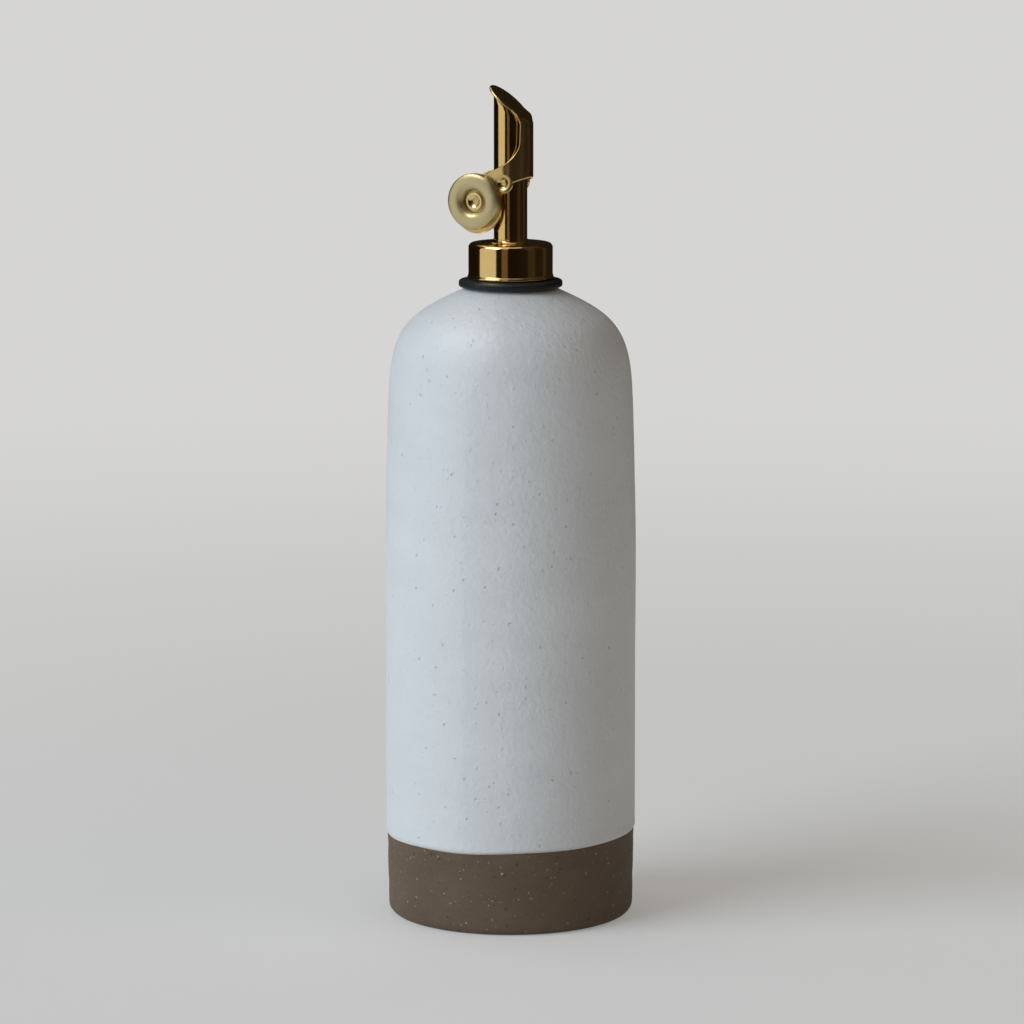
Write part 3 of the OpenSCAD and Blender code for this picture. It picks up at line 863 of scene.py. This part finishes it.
def clay_material():
    """Bare brown clay: matte and cloudy, with a fine grain, pale grog specks in two
    sizes and dark pits."""
    material, tree, shader = new_material("bare_clay")
    tone = mottle(tree, scale=55.0, contrast=2.0, flatten=2.0)
    base = mix_colour(tree, tone, (0.087, 0.057, 0.036), (0.136, 0.092, 0.06))
    grain = mottle(tree, scale=900.0, contrast=1.6)
    base = mix_colour(tree, math(tree, "MULTIPLY", grain, 0.4), base, (0.158, 0.117, 0.083))
    grog, _ = specks(tree, scale=560.0, size=0.17, share=0.7)
    coarse, coarse_height = specks(tree, scale=260.0, size=0.1, share=0.4)
    pale = math(tree, "MAXIMUM", math(tree, "MULTIPLY", grog, 0.42),
                math(tree, "MULTIPLY", coarse, 0.7))
    base = mix_colour(tree, pale, base, (0.47, 0.4, 0.32))
    pits, pits_height = specks(tree, scale=380.0, size=0.22, share=0.6)
    base = mix_colour(tree, math(tree, "MULTIPLY", pits, 0.5), base, (0.045, 0.034, 0.026))
    tree.links.new(base, shader.inputs["Base Color"])
    height = weigh(tree, (grain, 0.5), (pits_height, -1.0), (coarse_height, 0.6))
    bump(tree, shader, height, 0.2 * MM)
    tree.links.new(math(tree, "MULTIPLY_ADD", tone, 0.12, 0.62), shader.inputs["Roughness"])
    shader.inputs["Specular IOR Level"].default_value = 0.35
    return material


def metal_material(name, bright, deep, rough, grain, drift_scale=140.0, contrast=1.5):
    """Plated metal: a slight drift of colour and gloss, and a fine grain whose depth is
    given in millimetres."""
    material, tree, shader = new_material(name)
    drift = mottle(tree, scale=drift_scale, contrast=contrast)
    tree.links.new(mix_colour(tree, drift, deep, bright), shader.inputs["Base Color"])
    fine = mottle(tree, scale=900.0, contrast=1.2)
    gloss = math(tree, "MULTIPLY_ADD", fine, rough * 0.5, rough * 0.75)
    tree.links.new(gloss, shader.inputs["Roughness"])
    shader.inputs["Metallic"].default_value = 1.0
    bump(tree, shader, fine, grain * MM)
    return material


def rubber_material():
    """Black rubber: near black with a dusty bloom and a fine moulded grain."""
    material, tree, shader = new_material("black_rubber")
    bloom = mottle(tree, scale=120.0, contrast=1.8)
    colour = mix_colour(tree, bloom, (0.006, 0.007, 0.007), (0.016, 0.018, 0.018))
    tree.links.new(colour, shader.inputs["Base Color"])
    bump(tree, shader, mottle(tree, scale=1500.0), 0.03 * MM)
    tree.links.new(math(tree, "MULTIPLY_ADD", bloom, 0.12, 0.38), shader.inputs["Roughness"])
    shader.inputs["Specular IOR Level"].default_value = 0.28
    return material


def plastic_material():
    """Off-white moulded plastic with a fine matte grain."""
    material, tree, shader = new_material("core_plastic")
    tone = mottle(tree, scale=150.0)
    tree.links.new(mix_colour(tree, tone, (0.7, 0.7, 0.67), (0.8, 0.8, 0.77)),
                   shader.inputs["Base Color"])
    bump(tree, shader, tone, 0.03 * MM)
    shader.inputs["Roughness"].default_value = 0.5
    return material


WHITE_GLAZE = glaze_material("white_glaze", (0.706, 0.72, 0.736), (0.628, 0.646, 0.663), 0.48)
LINER_GLAZE = glaze_material("liner_glaze", (0.72, 0.75, 0.76), (0.64, 0.67, 0.68), 0.22)
CLAY = clay_material()
RUBBER = rubber_material()
PLASTIC = plastic_material()
POLISHED = metal_material("polished_brass", (0.9, 0.65, 0.28), (0.84, 0.58, 0.23), 0.1, 0.003)
SATIN = metal_material("satin_brass", (0.7, 0.52, 0.225), (0.6, 0.44, 0.18), 0.22, 0.004,
                       drift_scale=260.0, contrast=1.6)
WEIGHT_METAL = metal_material("weight_brass", (0.66, 0.57, 0.32), (0.57, 0.48, 0.255), 0.41, 0.012)
STUD_METAL = metal_material("stud_brass", (0.88, 0.68, 0.34), (0.8, 0.58, 0.26), 0.16, 0.006)
STEEL = metal_material("air_tube_steel", (0.62, 0.62, 0.61), (0.5, 0.5, 0.5), 0.25, 0.01)


def fit(piece, body, material, slot, *nodes):
    """Gives a piece its material and body, and lets it stand for CAD nodes. The slot is not used."""
    piece.data.materials.clear()
    piece.data.materials.append(material)
    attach(piece, body)
    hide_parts(*nodes)


def dress(node, material):
    """Gives a CAD node that keeps its own shape a finished material."""
    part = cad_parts[node]
    part.data.materials.clear()
    part.data.materials.append(material)


fit(build_glaze(), "bottle", WHITE_GLAZE, "white_glaze", "outer_glaze")
fit(build_clay(), "bottle", CLAY, "bare_clay", "clay_body")
fit(build_liner(), "bottle", LINER_GLAZE, "liner_glaze", "liner_glaze")
fit(build_stopper(), "pourer", RUBBER, "black_rubber", "stopper")
fit(build_cap(), "pourer", POLISHED, "polished_brass", "cap")
fit(build_spout(), "pourer", POLISHED, "polished_brass", "spout_tube")
fit(build_stud("near_stud", True), "pourer", SATIN, "satin_brass", "pivot_stud_near")
fit(build_stud("far_stud", False), "pourer", SATIN, "satin_brass", "pivot_stud_far")
fit(build_flap(), "flap", SATIN, "satin_brass", "flap_lever")
fit(build_weight("near_weight", True), "flap", WEIGHT_METAL, "weight_brass", "weight_near")
fit(build_weight("far_weight", False), "flap", WEIGHT_METAL, "weight_brass", "weight_far")
fit(build_rivet(), "flap", STUD_METAL, "stud_brass", "weight_rivet")
fit(build_spacer(), "flap", STUD_METAL, "stud_brass", "weight_spacer")
dress("stopper_core", PLASTIC)
dress("air_tube", STEEL)


# ---------------------------------------------------------- stage, light, camera
# Lengths in metres. The azimuths of lamps and cards are in degrees from the viewer's side
FLOOR_REACH = 7.0
NEAR_FLOOR, FAR_FLOOR = 0.1, 1.2
LAMP_REACH, LAMP_AIM_Z = 4.0, 0.13
CARD_REACH, CARD_LOW, CARD_HIGH, CARD_TOP = 0.8, 0.002, 1.1, 2.8
WINDOW_LOW, WINDOW_HIGH = 0.92, 1.75
CAMERA_REACH, CAMERA_AIM_Z, CAMERA_ASIDE = 1.591, 0.126, 0.43 * MM
FOCAL_PIXELS, FRAME_PIXELS, SENSOR_WIDTH = 5127.0, 1024.0, 36.0
DAYLIGHT, WINDOW_TINT, LAMPLIGHT = (0.79, 0.9, 1.0), (0.91, 0.97, 1.0), (1.0, 0.75, 0.48)
DARK, DIM, PALE = 0.024, 0.06, 0.4


def round_about(azimuth, elevation, distance, height):
    """The point at that azimuth from -Y, elevation and distance from the bottle's axis
    at a height."""
    away = np.array([np.sin(azimuth) * np.cos(elevation), -np.cos(azimuth) * np.cos(elevation),
                     np.sin(elevation)])
    return distance * away + [0, 0, height]


def aim(thing, target):
    """Turns a lamp or camera so that it looks at the target."""
    look = Vector(target) - thing.location
    thing.rotation_euler = look.to_track_quat("-Z", "Y").to_euler()


def flat_material(name, colour, rough):
    """A plain material for the stage, without a shine."""
    material, _, shader = new_material(name)
    shader.inputs["Base Color"].default_value = (*colour, 1)
    shader.inputs["Roughness"].default_value = rough
    shader.inputs["Specular IOR Level"].default_value = 0
    return material


def background_rays(tree):
    """1 where the camera, a reflection or a refraction looks, and 0 for plain light."""
    path = tree.nodes.new("ShaderNodeLightPath")
    seen = math(tree, "MAXIMUM", path.outputs["Is Camera Ray"], path.outputs["Is Glossy Ray"])
    return math(tree, "MAXIMUM", seen, path.outputs["Is Transmission Ray"])


def build_floor():
    """A wide level floor. What the camera and reflections see of it goes over, from the
    near distance to the far one, from a lit floor to an even pale glow."""
    edge = np.linspace(-FLOOR_REACH, FLOOR_REACH, 3)
    x, y = np.meshgrid(edge, edge)
    floor = grid_piece("floor", np.stack([x, y, 0 * x], -1))
    material = flat_material("pale_floor", (0.82, 0.81, 0.795), 0.7)
    tree = material.node_tree
    where = place(tree, "ShaderNodeTexCoord")
    far = place(tree, "ShaderNodeVectorMath", [(where.outputs["Object"], 0)], operation="LENGTH")
    blend = place(tree, "ShaderNodeMapRange", [(far.outputs["Value"], "Value")],
                  interpolation_type="SMOOTHSTEP", From_Min=NEAR_FLOOR, From_Max=FAR_FLOOR,
                  To_Min=0.35)
    glow = place(tree, "ShaderNodeEmission", Color=(0.67, 0.665, 0.655, 1))
    mix = place(tree, "ShaderNodeMixShader", [
        (math(tree, "MULTIPLY", blend.outputs["Result"], background_rays(tree)), 0),
        (tree.nodes["Principled BSDF"].outputs[0], 1), (glow.outputs[0], 2)])
    tree.links.new(mix.outputs[0], tree.nodes["Material Output"].inputs["Surface"])
    floor.data.materials.append(material)


def glow_material(name, colour, strength):
    """A material that gives off an even colour."""
    material, tree, _ = new_material(name)
    glow = place(tree, "ShaderNodeEmission", Color=(*colour, 1), Strength=strength)
    tree.links.new(glow.outputs[0], tree.nodes["Material Output"].inputs["Surface"])
    return material


def standing_card(name, azimuth_from, azimuth_to, low, high, material):
    """A standing card that only reflections see, curved about the bottle."""
    turn = np.radians(np.linspace(VIEW_DEGREES + azimuth_from, VIEW_DEGREES + azimuth_to, 13))
    z = np.array([low, high])[:, None]
    points = np.stack([CARD_REACH * np.sin(turn) + 0 * z, -CARD_REACH * np.cos(turn) + 0 * z,
                       z + 0 * turn], -1)
    card = grid_piece(name, points)
    card.data.materials.append(material)
    card.visible_camera = False
    card.visible_diffuse = False
    card.visible_shadow = False


def build_cards():
    """The cards that the gold and the glaze reflect: a ring of dark, dim and pale warm
    grey ones, a dim one above its right half, and the bright top of the window."""
    tints = {tone: flat_material(f"card_tone_{tone}", (tone, tone * 0.7, tone * 0.48), 0.8)
             for tone in (DARK, DIM, PALE)}
    for start, end, tone in ((-180, -92, DARK), (-40, -24, DARK), (-24, -8, PALE), (-8, 48, DARK),
                             (48, 70, DIM), (70, 98, DARK), (98, 112, DIM), (112, 180, DARK)):
        standing_card(f"card_{start}", start, end, CARD_LOW, CARD_HIGH, tints[tone])
    window = glow_material("window_glow", (1, 0.99, 0.97), 6.5)
    standing_card("window_top", -98, -42, WINDOW_LOW, WINDOW_HIGH, window)
    standing_card("card_high", -8, 180, CARD_HIGH, CARD_TOP, tints[DIM])


def area_lamp(name, azimuth, elevation, size, power, colour=(1, 1, 1), shines=True):
    """A soft rectangular lamp aimed at the middle of the bottle. It may be kept out of
    reflections."""
    lamp = bpy.data.lights.new(name, "AREA")
    lamp.shape = "RECTANGLE"
    lamp.size, lamp.size_y = size
    lamp.energy = power
    lamp.color = colour
    thing = bpy.data.objects.new(name, lamp)
    bpy.context.scene.collection.objects.link(thing)
    turn, tilt = np.radians(VIEW_DEGREES + azimuth), np.radians(elevation)
    thing.location = round_about(turn, tilt, LAMP_REACH, LAMP_AIM_Z)
    aim(thing, (0, 0, LAMP_AIM_Z))
    thing.visible_camera = False
    thing.visible_glossy = shines


def build_lamps():
    """Daylight from a window on the left, as one lamp without a shine and a weaker one
    with it, a little warm light from the right and a little from above and behind."""
    area_lamp("window", -61, 28, (3.0, 3.4), 113, DAYLIGHT, shines=False)
    area_lamp("window_shine", -61, 28, (3.0, 3.4), 54, WINDOW_TINT)
    area_lamp("fill", 62, 40, (3.0, 3.0), 12, LAMPLIGHT)
    area_lamp("overhead", -150, 62, (3.0, 3.0), 16)


def build_world():
    """A pale world, seen as it is by the camera and by reflections, dimmer and a little
    warmer as light."""
    world = bpy.data.worlds.new("pale_world")
    world.use_nodes = True
    tree = world.node_tree
    back = tree.nodes["Background"]
    seen = background_rays(tree)
    as_light, as_seen = (0.93, 0.865, 0.785), (0.86, 0.87, 0.88)
    tree.links.new(mix_colour(tree, seen, as_light, as_seen), back.inputs["Color"])
    tree.links.new(math(tree, "MULTIPLY_ADD", seen, 0.6, 0.18), back.inputs["Strength"])
    bpy.context.scene.world = world


def build_camera():
    """A long lens on the viewer's side, looking a little past the bottle's axis."""
    lens = bpy.data.cameras.new("camera")
    lens.sensor_width = SENSOR_WIDTH
    lens.lens = SENSOR_WIDTH * FOCAL_PIXELS / FRAME_PIXELS
    camera = bpy.data.objects.new("camera", lens)
    bpy.context.scene.collection.objects.link(camera)
    aside = CAMERA_ASIDE * np.array([np.cos(VIEW_AZIMUTH), np.sin(VIEW_AZIMUTH), 0])
    from_axis = round_about(VIEW_AZIMUTH, VIEW_ELEVATION, CAMERA_REACH, CAMERA_AIM_Z)
    camera.location = from_axis + aside
    aim(camera, aside + [0, 0, CAMERA_AIM_Z])
    bpy.context.scene.camera = camera


build_floor()
build_world()
build_camera()
build_lamps()
build_cards()
bpy.context.scene.view_settings.view_transform = "Standard"
